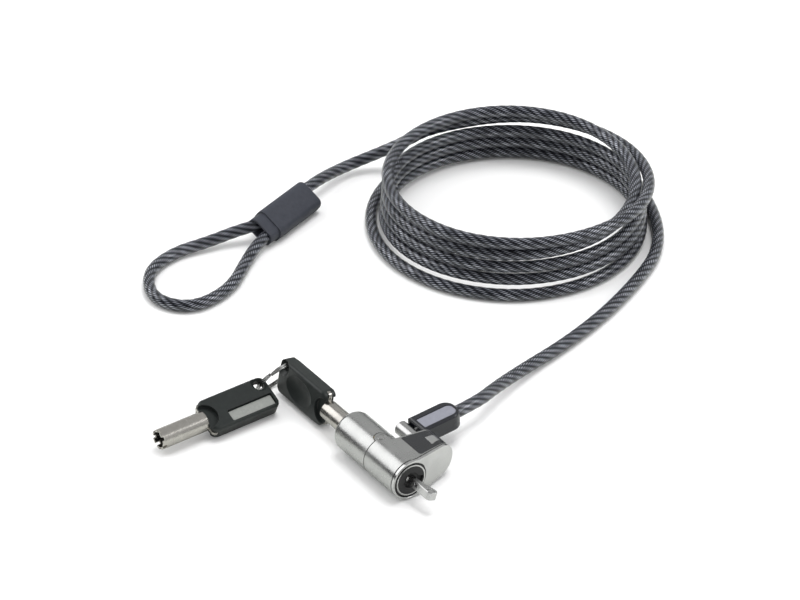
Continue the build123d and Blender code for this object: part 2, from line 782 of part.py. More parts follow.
cable_tube(
    "cable_lock_lead",
    [
        socket_floor,
        tuple(socket_home.offset(cable_straight).origin),
        (54.8, 28.3, -1.4),
        (71.6, 35.0, lie + 0.6),
        (92.6, 39.6, lie),
        (116.6, 47.0, lie),
        (144.6, 60.6, lie),
    ],
)
cable_tube(
    "cable_eye_lead",
    [
        in_sleeve(sleeve_bore_offset, ferrule_start + ferrule_length / 2),
        in_sleeve(sleeve_bore_offset, sleeve_length + 9.0),
        (94.6, 180.0, lie + 0.6),
        (108.1, 177.4, -1.5),
        (117.1, 168.2, 6.1),
    ],
)
cable_tube(
    "cable_eye",
    [
        in_sleeve(sleeve_bore_offset, ferrule_start + ferrule_length / 2),
        in_sleeve(sleeve_bore_offset, -6.5),
        (25.6, 169.0, -4.1),
        (13.6, 171.8, lie),
        (-5.4, 163.8, lie),
        (-12.8, 144.9, lie),
        (-3.4, 130.0, lie),
        (12.6, 135.0, lie),
        (29.6, 145.8, lie),
        in_sleeve(-sleeve_bore_offset, -6.5),
        in_sleeve(-sleeve_bore_offset, sleeve_bore_depth - 0.1),
    ],
)
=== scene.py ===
# %% [markdown]
# # A laptop cable lock
# A tubular key lock with a hook for a security slot, a swivel with a boot, a coiled steel cable
# with an eye, and two keys on a split ring. The hard parts arrive finished from CAD, and this
# lesson gives them their surfaces, then makes what CAD leaves plain: the stranded cable, the
# split ring and the small trims. All lengths are in metres and +Z is up. The lock lies on a
# table, nose towards the viewer.

from math import cos, pi, radians, sin

import bmesh
import bpy
from mathutils import Matrix, Vector


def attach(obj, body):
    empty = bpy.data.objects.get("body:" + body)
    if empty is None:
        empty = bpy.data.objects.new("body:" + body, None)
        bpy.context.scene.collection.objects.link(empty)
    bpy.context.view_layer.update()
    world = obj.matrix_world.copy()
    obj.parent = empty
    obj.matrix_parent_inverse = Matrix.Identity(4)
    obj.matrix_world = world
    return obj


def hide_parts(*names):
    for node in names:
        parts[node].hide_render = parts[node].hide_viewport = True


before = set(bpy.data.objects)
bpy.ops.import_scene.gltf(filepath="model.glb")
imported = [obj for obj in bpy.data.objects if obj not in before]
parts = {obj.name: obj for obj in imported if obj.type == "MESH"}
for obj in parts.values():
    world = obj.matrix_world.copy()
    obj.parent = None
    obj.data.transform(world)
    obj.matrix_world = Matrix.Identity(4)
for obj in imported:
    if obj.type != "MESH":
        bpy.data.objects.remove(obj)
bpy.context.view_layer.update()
table_top = -0.0072         # half the barrel's 14.4 mm: the lock lies on the table
print("CAD nodes:", len(parts))

# %% [markdown]
# ## The camera
# A product picture is taken with a long lens from well back, so that parallel edges stay nearly
# parallel. The camera is placed by the direction it looks from (an azimuth and an elevation),
# a distance, and the point it looks at.

# %% Place the camera
azimuth, elevation, distance = radians(-34.9), radians(33.61), 1.2
looks_at = Vector((0.06405, 0.09823, -0.0077))
sensor_width, focal_length = 36, 152.46     # millimetres
away = Vector((sin(azimuth) * cos(elevation), -cos(azimuth) * cos(elevation), sin(elevation)))
camera_data = bpy.data.cameras.new("camera")
camera_data.sensor_width, camera_data.lens = sensor_width, focal_length
camera_data.clip_end = 20
camera = bpy.data.objects.new("camera", camera_data)
camera.location = looks_at + away * distance
camera.rotation_euler = away.to_track_quat("Z", "Y").to_euler()
bpy.context.scene.collection.objects.link(camera)
bpy.context.scene.camera = camera
print("camera at", [round(v, 3) for v in camera.location])

# %% [markdown]
# ## The studio
# The lock lies on a white sweep. Polished metal shows the room more than itself, so the room is
# made for it: what the metal mirrors is darker than what lights it. The world has two faces. Rays
# that light surfaces find even white, and mirrored rays find a dark wall on the left and a grey
# one on the right. The floor does the same: white to the camera, and grey in a reflection. One
# large soft light behind the lock then draws a single broad white band along the barrel.


# %% Helpers for node materials
def new_material(name):
    """A material with an empty node tree apart from its Principled shader and output."""
    material = bpy.data.materials.new(name)
    material.use_nodes = True
    nodes = material.node_tree.nodes
    shader = next(n for n in nodes if n.type == "BSDF_PRINCIPLED")
    return material, nodes, material.node_tree.links, shader


def set_inputs(node, **values):
    """Sets sockets by name, with _ for a space."""
    for key, value in values.items():
        node.inputs[key.replace("_", " ")].default_value = value


def give(material, *names):
    """Puts one material on every slot of the named CAD nodes."""
    for name in names:
        piece = parts[name]
        if not piece.material_slots:
            piece.data.materials.append(material)
        for slot in piece.material_slots:
            slot.material = material


# %% Floor
bpy.ops.object.select_all(action="DESELECT")
floor_size, floor_gap = 6, 0.0002
bpy.ops.mesh.primitive_plane_add(size=floor_size, location=(0, 0, table_top - floor_gap))
floor = bpy.context.object
floor.name = "floor"
floor_material, nodes, links, shader = new_material("white_sweep")
set_inputs(shader, Base_Color=(0.95, 0.95, 0.95, 1), Roughness=0.9)
mirrored = nodes.new("ShaderNodeBsdfDiffuse")
mirrored.inputs["Color"].default_value = (0.60, 0.61, 0.59, 1)
rays = nodes.new("ShaderNodeLightPath")
choose = nodes.new("ShaderNodeMixShader")
links.new(rays.outputs["Is Camera Ray"], choose.inputs["Fac"])
links.new(mirrored.outputs["BSDF"], choose.inputs[1])
links.new(shader.outputs["BSDF"], choose.inputs[2])
links.new(choose.outputs["Shader"], nodes["Material Output"].inputs["Surface"])
floor.data.materials.append(floor_material)

# %% World
world = bpy.data.worlds.new("studio")
world.use_nodes = True
nodes, links = world.node_tree.nodes, world.node_tree.links
even = nodes["Background"]
set_inputs(even, Color=(1, 1, 1, 1), Strength=0.8)
room = nodes.new("ShaderNodeBackground")
where = nodes.new("ShaderNodeTexCoord")
split = nodes.new("ShaderNodeSeparateXYZ")
links.new(where.outputs["Generated"], split.inputs["Vector"])
sides = nodes.new("ShaderNodeMapRange")
set_inputs(sides, From_Min=-1.0, From_Max=1.0)
links.new(split.outputs["X"], sides.inputs["Value"])
walls = nodes.new("ShaderNodeValToRGB")
walls.color_ramp.elements[0].position, walls.color_ramp.elements[0].color = 0.0, (0.05, 0.05, 0.055, 1)
walls.color_ramp.elements[1].position, walls.color_ramp.elements[1].color = 1.0, (0.46, 0.47, 0.46, 1)
for position, grey in ((0.22, 0.07), (0.42, 0.16), (0.53, 0.2), (0.62, 0.5)):
    walls.color_ramp.elements.new(position).color = (grey, grey, grey, 1)
links.new(sides.outputs["Result"], walls.inputs["Fac"])
links.new(walls.outputs["Color"], room.inputs["Color"])
rays = nodes.new("ShaderNodeLightPath")
choose = nodes.new("ShaderNodeMixShader")
links.new(rays.outputs["Is Glossy Ray"], choose.inputs["Fac"])
links.new(even.outputs["Background"], choose.inputs[1])
links.new(room.outputs["Background"], choose.inputs[2])
links.new(choose.outputs["Shader"], nodes["World Output"].inputs["Surface"])
bpy.context.scene.world = world


# %% Lights
def softbox(name, power, size, location, target):
    """A rectangular area light that faces a point."""
    data = bpy.data.lights.new(name, "AREA")
    data.shape = "RECTANGLE"
    data.size, data.size_y = size
    data.energy = power
    light = bpy.data.objects.new(name, data)
    light.location = location
    light.rotation_euler = (Vector(location) - Vector(target)).to_track_quat("Z", "Y").to_euler()
    bpy.context.scene.collection.objects.link(light)
    return light


softbox("white_band", 4.8, (1.0, 0.9), (-0.5, 0.9, 0.75), (0.03, 0.04, 0))
softbox("overhead", 9, (0.7, 0.7), (0.3, 0.1, 1.3), (0.06, 0.09, 0)).visible_glossy = False
softbox("front_right", 2.5, (0.5, 0.5), (0.9, -0.6, 0.8), (0.05, 0.08, 0))
bpy.context.scene.view_settings.view_transform = "Standard"

# %% [markdown]
# ## Shared effects
# Four effects turn up in more than one finish, so each is a node group: marks left by turning on
# a lathe, the fine skin of a cast or moulded surface, the smudges and scuffs of handling, and the
# thin bright line where an edge has rubbed. The first three read Object coordinates, so they stay
# on their piece; the edge group compares a rounded normal with the true one. Each gives out a
# height or a mask that the finish uses as it likes, and the edge group also its rounded normal.


# %% Helper for node groups
def new_group(name, inputs, outputs):
    """A node group with float or vector inputs and outputs, and its input and output nodes."""
    group = bpy.data.node_groups.new(name, "ShaderNodeTree")
    for label, value in inputs:
        kind = "NodeSocketVector" if isinstance(value, tuple) else "NodeSocketFloat"
        group.interface.new_socket(label, in_out="INPUT", socket_type=kind).default_value = value
    for label in outputs:
        kind = "NodeSocketVector" if label == "Normal" else "NodeSocketFloat"
        group.interface.new_socket(label, in_out="OUTPUT", socket_type=kind)
    return group, group.nodes, group.links, group.nodes.new("NodeGroupInput"), group.nodes.new("NodeGroupOutput")


def place_group(nodes, group, **values):
    """A group placed in a material, with its own values."""
    node = nodes.new("ShaderNodeGroup")
    node.node_tree = group
    set_inputs(node, **values)
    return node


def noise_node(nodes, scale, detail=3.0, roughness=0.55):
    """A noise texture with its scale, detail and roughness."""
    node = nodes.new("ShaderNodeTexNoise")
    set_inputs(node, Scale=scale, Detail=detail, Roughness=roughness)
    return node


def math_node(nodes, operation, first=0.0, second=0.0, clamp=False):
    """A math node with its operation and its two first values."""
    node = nodes.new("ShaderNodeMath")
    node.operation, node.use_clamp = operation, clamp
    node.inputs[0].default_value, node.inputs[1].default_value = first, second
    return node


# %% Group: lathe marks along an axis
turned, nodes, links, into, out = new_group(
    "turned_marks", (("Axis", (0.0, 1.0, 0.0)), ("Per Metre", 9000.0)), ("Height",))
where = nodes.new("ShaderNodeTexCoord")
along = nodes.new("ShaderNodeVectorMath")
along.operation = "DOT_PRODUCT"
links.new(where.outputs["Object"], along.inputs[0])
links.new(into.outputs["Axis"], along.inputs[1])
scaled = math_node(nodes, "MULTIPLY")
links.new(along.outputs["Value"], scaled.inputs[0])
links.new(into.outputs["Per Metre"], scaled.inputs[1])
lines = nodes.new("ShaderNodeTexNoise")
lines.noise_dimensions = "1D"
set_inputs(lines, Scale=1.0, Detail=4.0, Roughness=0.7)
links.new(scaled.outputs[0], lines.inputs["W"])
links.new(lines.outputs["Fac"], out.inputs["Height"])

# %% Group: cast or moulded skin
skin, nodes, links, into, out = new_group("moulded_skin", (("Grain", 9000.0), ("Swell", 500.0)), ("Height", "Mottle"))
where = nodes.new("ShaderNodeTexCoord")
fine, broad = noise_node(nodes, 1, 2.0), noise_node(nodes, 1, 3.0, 0.5)
for node, size in ((fine, "Grain"), (broad, "Swell")):
    links.new(where.outputs["Object"], node.inputs["Vector"])
    links.new(into.outputs[size], node.inputs["Scale"])
soft = math_node(nodes, "MULTIPLY", 0, 2.2)
links.new(broad.outputs["Fac"], soft.inputs[0])
total = math_node(nodes, "ADD")
links.new(fine.outputs["Fac"], total.inputs[0])
links.new(soft.outputs[0], total.inputs[1])
links.new(total.outputs[0], out.inputs["Height"])
links.new(broad.outputs["Fac"], out.inputs["Mottle"])

# %% Group: smudges and scuffs of handling
handled, nodes, links, into, out = new_group(
    "handling", (("Smudge Size", 160.0), ("Scuff Size", 2600.0)), ("Smudge", "Scuff"))
where = nodes.new("ShaderNodeTexCoord")
smudge = noise_node(nodes, 1, 5.0, 0.62)
links.new(where.outputs["Object"], smudge.inputs["Vector"])
links.new(into.outputs["Smudge Size"], smudge.inputs["Scale"])
links.new(smudge.outputs["Fac"], out.inputs["Smudge"])
stretch = nodes.new("ShaderNodeMapping")
stretch.inputs["Rotation"].default_value = (0.3, 0.5, 0.7)
stretch.inputs["Scale"].default_value = (1.0, 0.06, 1.0)
links.new(where.outputs["Object"], stretch.inputs["Vector"])
scratch = noise_node(nodes, 1, 2.0, 0.5)
links.new(stretch.outputs["Vector"], scratch.inputs["Vector"])
links.new(into.outputs["Scuff Size"], scratch.inputs["Scale"])
sharp = nodes.new("ShaderNodeMapRange")
set_inputs(sharp, From_Min=0.68, From_Max=0.75)
links.new(scratch.outputs["Fac"], sharp.inputs["Value"])
links.new(sharp.outputs["Result"], out.inputs["Scuff"])

# %% Group: softened, rubbed edges
rubbed, nodes, links, into, out = new_group("rubbed_edges", (("Width", 0.0002),), ("Edge", "Normal"))
rounded = nodes.new("ShaderNodeBevel")
rounded.samples = 4
links.new(into.outputs["Width"], rounded.inputs["Radius"])
links.new(rounded.outputs["Normal"], out.inputs["Normal"])
flat = nodes.new("ShaderNodeNewGeometry")
agree = nodes.new("ShaderNodeVectorMath")
agree.operation = "DOT_PRODUCT"
links.new(rounded.outputs["Normal"], agree.inputs[0])
links.new(flat.outputs["Normal"], agree.inputs[1])
edge = nodes.new("ShaderNodeMapRange")
set_inputs(edge, From_Min=0.995, From_Max=0.9)
links.new(agree.outputs["Value"], edge.inputs["Value"])
links.new(edge.outputs["Result"], out.inputs["Edge"])
print("shared effects:", [group.name for group in (turned, skin, handled, rubbed)])

# %% [markdown]
# ## One recipe for the hard finishes
# Metals and plastics here differ in values more than in kind. Each has two close colours that
# mottle into each other, a roughness that smudges raise and lower, a fine height for its skin or
# its lathe marks, and edges that are softened and a little lighter. So one function lays the
# nodes, and each finish is a call with its own numbers. The numbers that are the same all over,
# such as the clear coat, are set straight on the shader.


# %% Recipe
def hard_finish(name, dark, light, roughness, metal=0.0, grain=9000.0, swell=500.0, bump=0.2, depth=0.00002,
                edge_light=0.15, edge_width=0.0002, smudges=0.12, scuffs=0.1, lathe=None, coat=0.0, per_metre=9000.0):
    """A mottled, smudged, slightly worn metal or plastic; lathe gives the axis it was turned on."""
    material, nodes, links, shader = new_material(name)
    set_inputs(shader, Metallic=metal, Coat_Weight=coat, Coat_Roughness=0.12)
    surface = place_group(nodes, skin, Grain=grain, Swell=swell)
    touch = place_group(nodes, handled)
    edges = place_group(nodes, rubbed, Width=edge_width)
    colour = nodes.new("ShaderNodeMix")
    colour.data_type = "RGBA"
    colour.inputs["A"].default_value, colour.inputs["B"].default_value = (*dark, 1), (*light, 1)
    links.new(surface.outputs["Mottle"], colour.inputs["Factor"])
    worn = nodes.new("ShaderNodeMix")
    worn.data_type = "RGBA"
    worn.inputs["B"].default_value = (*[min(v * 1.12 + edge_light, 0.9) for v in light], 1)
    weight = math_node(nodes, "MULTIPLY", 0, 0.5)
    scored = math_node(nodes, "MULTIPLY", 0, scuffs)
    both = math_node(nodes, "ADD", clamp=True)
    links.new(edges.outputs["Edge"], weight.inputs[0])
    links.new(touch.outputs["Scuff"], scored.inputs[0])
    links.new(weight.outputs[0], both.inputs[0])
    links.new(scored.outputs[0], both.inputs[1])
    links.new(both.outputs[0], worn.inputs["Factor"])
    links.new(colour.outputs["Result"], worn.inputs["A"])
    links.new(worn.outputs["Result"], shader.inputs["Base Color"])
    gloss = nodes.new("ShaderNodeMapRange")
    set_inputs(gloss, From_Min=0.3, From_Max=0.7,
               To_Min=roughness * (1 - smudges), To_Max=roughness * (1 + 2 * smudges))
    links.new(touch.outputs["Smudge"], gloss.inputs["Value"])
    links.new(gloss.outputs["Result"], shader.inputs["Roughness"])
    relief = nodes.new("ShaderNodeBump")
    set_inputs(relief, Strength=bump, Distance=depth)
    height = surface.outputs["Height"]
    if lathe:
        marks = place_group(nodes, turned, Axis=lathe, Per_Metre=per_metre)
        height = marks.outputs["Height"]
    links.new(height, relief.inputs["Height"])
    links.new(edges.outputs["Normal"], relief.inputs["Normal"])
    links.new(relief.outputs["Normal"], shader.inputs["Normal"])
    print("finish:", name)
    return material


# %% [markdown]
# ## The lock head's metal
# The head is die-cast zinc, barrel-polished and plated satin silver. Seen close it is not a
# mirror: the casting leaves a faint swell and the plating a fine grain, which break the reflected
# lights into soft bands. The hook and the swivel are turned or stamped hardened steel with a
# brighter plating. The inside is what such locks have: brass turned parts and steel springs.

# %% Metal finishes
barrel_axis = (0.0, 1.0, 0.0)
give(hard_finish("satin_plated_zinc", (0.50, 0.505, 0.50), (0.62, 0.625, 0.615), 0.26, metal=1, grain=5200, swell=170,
                 bump=0.05, depth=0.00003, edge_light=0.0, edge_width=0.00008, smudges=0.14, scuffs=0.14),
     "lock_housing", "rear_shell")
give(hard_finish("bright_plated_front", (0.60, 0.60, 0.60), (0.74, 0.74, 0.735), 0.2, metal=1, grain=6000, swell=200,
                 bump=0.05, edge_width=0.00015, smudges=0.15, scuffs=0.14),
     "front_plate", "nose_ring", "arm_badge")
give(hard_finish("hardened_hook_steel", (0.58, 0.58, 0.585), (0.72, 0.72, 0.72), 0.22, metal=1, grain=7000, swell=400,
                 bump=0.15, smudges=0.3, scuffs=0.45),
     "security_hook")
give(hard_finish("turned_swivel_steel", (0.50, 0.50, 0.50), (0.66, 0.66, 0.66), 0.2, metal=1, lathe=barrel_axis,
                 bump=0.2, smudges=0.25, scuffs=0.3),
     "swivel_barrel")
give(hard_finish("ground_pin_steel", (0.45, 0.45, 0.46), (0.6, 0.6, 0.6), 0.25, metal=1, lathe=(0, 0, 1.0),
                 bump=0.2), "cross_pin", "shell_pin")
give(hard_finish("turned_brass", (0.52, 0.36, 0.13), (0.72, 0.54, 0.24), 0.28, metal=1, lathe=barrel_axis, bump=0.35,
                 per_metre=6000), "core_barrel", "spindle")
give(hard_finish("pin_brass", (0.58, 0.42, 0.17), (0.78, 0.6, 0.3), 0.22, metal=1, lathe=barrel_axis, bump=0.2,
                 per_metre=15000), "driver_pins", "key_pins")
give(hard_finish("spring_wire", (0.42, 0.42, 0.43), (0.56, 0.56, 0.56), 0.3, metal=1, lathe=barrel_axis, bump=0.9,
                 depth=0.0001, per_metre=2600), "pin_springs")
give(hard_finish("stamped_spring_steel", (0.36, 0.37, 0.38), (0.5, 0.5, 0.5), 0.34, metal=1, grain=4000, bump=0.25,
                 scuffs=0.4), "spring_plate", "retaining_clip")
give(hard_finish("pressed_ferrule", (0.50, 0.50, 0.51), (0.64, 0.64, 0.64), 0.4, metal=1, grain=2500, swell=700,
                 bump=0.5, scuffs=0.5), "sleeve_ferrule")

# %% [markdown]
# ## The keys
# Each key is a nickel-plated tube pressed into a moulded bow. The tube is turned, so its marks
# run round it: along Y on the key in the lock, and along X on the spare. The plating is warmer
# than the zinc's. The bow is a semi-matte black plastic with a green cast and the fine skin of an
# eroded mould, polished a little where fingers hold it.

# %% Key finishes
nickel_values = dict(dark=(0.47, 0.45, 0.42), light=(0.64, 0.62, 0.58), roughness=0.2, metal=1, bump=0.12,
                     smudges=0.3, scuffs=0.3, edge_width=0.00025)
give(hard_finish("nickel_of_inserted_key", lathe=barrel_axis, **nickel_values), "key_shaft")
give(hard_finish("nickel_of_spare_key", lathe=(1.0, 0.026, 0.0), **nickel_values), "spare_key_shaft")
give(hard_finish("moulded_bow", (0.0100, 0.0130, 0.0128), (0.019, 0.0235, 0.0225), 0.36, grain=5200, swell=600,
                 bump=0.32, depth=0.00003, edge_light=0.012, edge_width=0.0004, smudges=0.22, scuffs=0.10),
     "key_bow", "spare_key_bow")
give(hard_finish("plain_grey_tag", (0.22, 0.23, 0.22), (0.33, 0.34, 0.32), 0.36, grain=6500, swell=900, bump=0.2,
                 edge_light=0.05, scuffs=0.2), "key_tag", "spare_key_tag")

# %% [markdown]
# ## Plastics and rubber
# The boot and the arm's inlay are gloss black with a blue cast, from a polished mould, so they
# get a clear coat over a smooth base. The sleeve is a slate-coloured soft plastic, matt and
# slightly pebbled. The nose pad is rubber: its grain is coarser and it has no gloss to lose.

# %% Plastic and rubber finishes
give(hard_finish("gloss_black_boot", (0.006, 0.007, 0.011), (0.011, 0.012, 0.018), 0.2, grain=9000, swell=350,
                 bump=0.06, edge_light=0.02, edge_width=0.0004, coat=0.4, smudges=0.3, scuffs=0.06), "cable_boot")
give(hard_finish("gloss_inlay", (0.008, 0.009, 0.011), (0.014, 0.015, 0.018), 0.24, grain=9000, swell=500, bump=0.08,
                 edge_light=0.02, coat=0.3, smudges=0.3, scuffs=0.08), "arm_inlay")
give(hard_finish("slate_sleeve", (0.030, 0.033, 0.045), (0.047, 0.051, 0.067), 0.5, grain=4200, swell=700, bump=0.4,
                 depth=0.00003, edge_light=0.02, edge_width=0.0004, smudges=0.15, scuffs=0.1), "cable_sleeve")
give(hard_finish("nose_rubber", (0.020, 0.020, 0.021), (0.034, 0.034, 0.035), 0.62, grain=3600, swell=900, bump=0.5,
                 depth=0.00003, edge_light=0.01, scuffs=0.05), "nose_pad")

# %% [markdown]
# ## The cable
# The cable is a steel rope, 4.4 mm over its clear vinyl jacket and about two metres long. It
# leaves the boot, lies on the table in a gentle S, winds up into a loose coil of a little over
# five turns, drops to the table again, goes through the moulded sleeve, makes the eye and comes
# back into the sleeve. A NURBS curve with few, well placed control points gives a line as smooth
# as the real, stiff cable. The coil's turns are points every 30 degrees, each with its own radius
# and height, because turns that nothing ties lie a little differently.

# %% Cable route
cable_radius = 0.0022
lie = -5.0                  # height of the cable's centre on the table, millimetres
coil_middle = (126.2, 114.6)
swivel_x, boot_y, boot_tilt = 14.0, 20.9, radians(4)
socket_start, boot_end = 7, 19      # from the swivel's axis


def along_socket(distance):
    """Point on the axis of the cable socket, at a distance from the swivel."""
    return (swivel_x + distance * cos(boot_tilt), boot_y, distance * sin(boot_tilt))


sleeve_start = Vector((42.7, 156.4, -1.89))
sleeve_turn, sleeve_lean = radians(20.8), radians(35)
sleeve_along = Vector((cos(sleeve_turn), sin(sleeve_turn), 0))
sleeve_side = Vector((-sin(sleeve_turn) * cos(sleeve_lean), cos(sleeve_turn) * cos(sleeve_lean), sin(sleeve_lean)))


def in_sleeve(offset, along):
    """Point in one of the sleeve's bores."""
    return tuple(sleeve_start + sleeve_side * offset + sleeve_along * along)


lead_to_coil = [
    along_socket(socket_start),
    along_socket(boot_end + 8),
    (54.8, 28.3, -1.4),
    (71.6, 35.0, lie + 0.6),
    (92.6, 39.6, lie),
    (116.6, 47.0, lie),
    (139.6, 57.6, lie),
    (156.1, 67.6, lie),
]

# each turn starts where the lead comes in: (radius, height above the table) every 30 degrees
coil_start = radians(-35)
turns = [
    [(51.0, 2.2), (51.8, 2.2), (53.0, 2.2), (53.5, 2.2), (53.4, 2.2), (52.8, 2.2),
     (52.2, 2.2), (51.6, 2.2), (50.6, 2.2), (49.8, 2.2), (48.4, 2.2), (47.0, 2.2)],
    [(46.4, 2.3), (46.8, 2.3), (47.4, 2.4), (47.8, 2.5), (47.8, 3.0), (47.5, 3.9),
     (47.2, 4.9), (47.2, 5.8), (47.3, 6.8), (47.4, 7.4), (46.9, 7.4), (46.4, 7.4)],
    [(46.2, 7.4), (46.5, 7.4), (46.9, 7.3), (47.2, 7.3), (47.1, 8.0), (46.8, 8.9),
     (46.6, 9.8), (46.6, 10.6), (46.7, 11.5), (46.8, 12.2), (46.5, 12.3), (46.2, 12.4)],
    [(46.0, 12.4), (46.1, 12.4), (46.3, 12.4), (46.5, 12.4), (46.5, 12.9), (46.4, 13.8),
     (46.3, 14.7), (46.3, 15.6), (46.3, 16.4), (46.2, 16.9), (44.9, 17.0), (44.0, 17.8)],
    [(43.9, 19.2), (44.0, 20.4), (44.9, 21.2), (45.8, 21.4), (46.1, 21.4), (46.1, 21.4),
     (46.1, 21.4), (46.1, 21.4), (46.1, 21.4), (46.2, 21.4), (46.7, 21.4), (48.0, 20.6)],
    [(48.8, 19.0), (49.1, 17.8), (49.4, 17.0), (49.8, 16.6)],
]
corner_gain = 1 / cos(pi / 12)      # the curve passes inside its control points
coil_points = []
for turn in turns:
    for step, (radius, height) in enumerate(turn):
        direction = coil_start + radians(30 * step)
        coil_points.append((
            coil_middle[0] + radius * corner_gain * cos(direction),
            coil_middle[1] + radius * corner_gain * sin(direction),
            table_top * 1000 + height,
        ))

coil_to_eye = [
    (126.0, 166.3, 9.1),
    (115.1, 168.0, 5.9),
    (107.1, 175.8, -0.7),
    (95.6, 179.4, -3.9),
    in_sleeve(2.6, 40),
    in_sleeve(2.6, 28),
    in_sleeve(2.6, 15),
    in_sleeve(2.6, 2),
    (35.7, 162.6, -2.3),
    (26.4, 164.6, -4.1),
    (11.8, 166.9, lie),
    (-2.5, 160.9, lie),
    (-9.8, 145.2, lie),
    (-1.3, 132.1, lie),
    (16.4, 134.9, lie),
    (31.4, 147.6, lie),
    in_sleeve(-2.6, -3),
    in_sleeve(-2.6, 8),
    in_sleeve(-2.6, 13.9),
]
route = [Vector(point) / 1000 for point in lead_to_coil + coil_points + coil_to_eye]
print("route points:", len(route))

# %% Smooth line through the route
line_data = bpy.data.curves.new("cable_line", "CURVE")
line_data.dimensions = "3D"
spline = line_data.splines.new("NURBS")
spline.points.add(len(route) - 1)
for point, place in zip(spline.points, route):
    point.co = (*place, 1)
spline.order_u = 3
spline.use_endpoint_u = True
line_data.resolution_u = 18
line = bpy.data.objects.new("cable_line", line_data)
bpy.context.scene.collection.objects.link(line)
line_mesh = bpy.data.meshes.new_from_object(line)
path = [v.co.copy() for v in line_mesh.vertices]
bpy.data.objects.remove(line)
bpy.data.meshes.remove(line_mesh)

# %% [markdown]
# ### Strands
# The rope has six strands laid round a core, and the jacket follows them in low ridges. A round
# bevel on the curve could not show that, so the tube is a mesh: a ring of vertices at each point
# of the line, carried along without twist, its radius dipping six times round. The dips turn
# slowly along the cable, one turn every 24 mm, which is the lay of the rope. The ring's angle
# and the distance run are kept as a UV map for the wires' pattern.

# %% Stranded tube
strands, lay_length, groove, ring_points = 6, 0.024, 0.00017, 36


def stranded_tube(name, path):
    """Mesh tube with twisted ridges, and a UV map of (turn about the axis, metres along)."""
    mesh = bmesh.new()
    uv_layer = mesh.loops.layers.uv.new("UVMap")
    tangent = (path[1] - path[0]).normalized()
    side = tangent.orthogonal().normalized()
    rings, run = [], [0.0]
    for index, center in enumerate(path):
        ahead = path[min(index + 1, len(path) - 1)] - path[max(index - 1, 0)]
        side = (side - ahead.normalized() * side.dot(ahead.normalized())).normalized()
        up = ahead.normalized().cross(side)
        if index:
            run.append(run[-1] + (center - path[index - 1]).length)
        ring = []
        for step in range(ring_points):
            angle = 2 * pi * step / ring_points
            dip = 0.5 - 0.5 * cos(strands * (angle - 2 * pi * run[-1] / lay_length))
            radius = cable_radius - groove * (1 - dip ** 0.6)
            ring.append(mesh.verts.new(center + side * radius * cos(angle) + up * radius * sin(angle)))
        rings.append(ring)
    for index, (ring, following) in enumerate(zip(rings, rings[1:])):
        for step in range(ring_points):
            turn = (step + 1) % ring_points
            face = mesh.faces.new((ring[step], ring[turn], following[turn], following[step]))
            face.smooth = True
            ends = (step / ring_points, (step + 1) / ring_points)
            for loop, u, v in zip(face.loops, (ends[0], ends[1], ends[1], ends[0]),
                                  (run[index], run[index], run[index + 1], run[index + 1])):
                loop[uv_layer].uv = (u, v)
    mesh.faces.new(reversed(rings[0]))
    mesh.faces.new(rings[-1])
    data = bpy.data.meshes.new(name)
    mesh.to_mesh(data)
    mesh.free()
    piece = bpy.data.objects.new(name, data)
    bpy.context.scene.collection.objects.link(piece)
    return piece


cable = stranded_tube("steel_cable", path)
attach(cable, "cable")
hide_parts("cable_lock_lead", "cable_coil", "cable_eye_lead", "cable_eye")
print("cable faces:", len(cable.data.polygons))

# %% [markdown]
# ### The look of the rope
# Under a clear, dark-tinted vinyl jacket lie six strands, each of fine wires laid the other way.
# The UV map gives the turn round the cable and the metres along it, so a strand is a straight
# stripe in the sum of the two, and a wire is a finer stripe that leans back. Painted shade makes
# the gaps between the strands nearly black, and a painted highlight glints where a wire crests;
# its strength varies in patches. The jacket is the shader's clear coat, smooth and evenly thick.


# %% Cable finish
def stripes(nodes, links, turn, run, per_turn, per_metre, power):
    """Rounded stripes from 0 to 1 that count per_turn round the cable and per_metre along it."""
    first = math_node(nodes, "MULTIPLY", 0, 2 * pi * per_turn)
    second = math_node(nodes, "MULTIPLY", 0, 2 * pi * per_metre)
    links.new(turn, first.inputs[0])
    links.new(run, second.inputs[0])
    phase = math_node(nodes, "SUBTRACT")
    links.new(first.outputs[0], phase.inputs[0])
    links.new(second.outputs[0], phase.inputs[1])
    wave = math_node(nodes, "COSINE")
    links.new(phase.outputs[0], wave.inputs[0])
    half = nodes.new("ShaderNodeMapRange")
    set_inputs(half, From_Min=1.0, From_Max=-1.0)
    links.new(wave.outputs[0], half.inputs["Value"])
    shaped = math_node(nodes, "POWER", 0, power)
    links.new(half.outputs["Result"], shaped.inputs[0])
    return shaped.outputs[0]


rope, nodes, links, shader = new_material("jacketed_rope")
uv = nodes.new("ShaderNodeUVMap")
uv.uv_map = "UVMap"
parts_of_uv = nodes.new("ShaderNodeSeparateXYZ")
links.new(uv.outputs["UV"], parts_of_uv.inputs["Vector"])
turn, run = parts_of_uv.outputs["X"], parts_of_uv.outputs["Y"]
strand = stripes(nodes, links, turn, run, strands, strands / lay_length, 0.45)
wire = stripes(nodes, links, turn, run, strands * 3, -420.0, 0.9)
patchy = noise_node(nodes, 260, 4.0, 0.6)
where = nodes.new("ShaderNodeTexCoord")
links.new(where.outputs["Object"], patchy.inputs["Vector"])
# glint: where strand and wire crest together; it drives the painted highlight in the colour and the bump's height
glint = math_node(nodes, "MULTIPLY")
links.new(strand, glint.inputs[0])
links.new(wire, glint.inputs[1])
